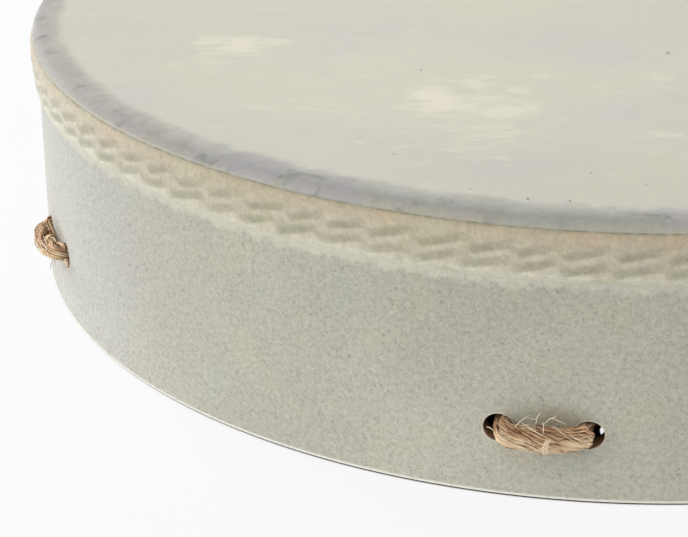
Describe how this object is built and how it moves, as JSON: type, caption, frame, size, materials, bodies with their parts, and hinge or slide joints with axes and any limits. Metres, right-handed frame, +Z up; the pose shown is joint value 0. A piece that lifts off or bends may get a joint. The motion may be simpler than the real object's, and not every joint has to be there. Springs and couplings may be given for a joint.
{
  "type": "frame drum",
  "caption": "Large shallow frame drum with a film head, a pressed collar round its top edge and a rope handle bound across its open back.",
  "frame": {"origin": "middle of the shell's open lower edge, on the surface the drum rests on", "axes": "+Z up along the drum's axis towards the head, X along the grip of the handle, Y across it"},
  "size_m": [0.4114, 0.4114, 0.0889],
  "materials": {
    "fibre_core": "dark brown wood fibre board, matt",
    "speckled_fibre": "pale grey-green fibrous sheet with fine light and dark specks, matt",
    "skin_film": "cream film mottled like hide, grey at its rounded shoulder, satin",
    "pressed_band": "tan pressed fibre with two rows of slanting relief, matt",
    "straw_rope": "straw-coloured laid plant fibre with loose hairs",
    "straw_cord": "straw-coloured plant-fibre cord"
  },
  "bodies": {
    "root": {"shell": "fibre_core", "shell_covering": "speckled_fibre", "drum_head": "skin_film", "head_collar": "pressed_band", "handle_rope_back": "straw_rope", "handle_rope_front": "straw_rope", "grip_binding": "straw_cord"}
  },
  "joints": []
}
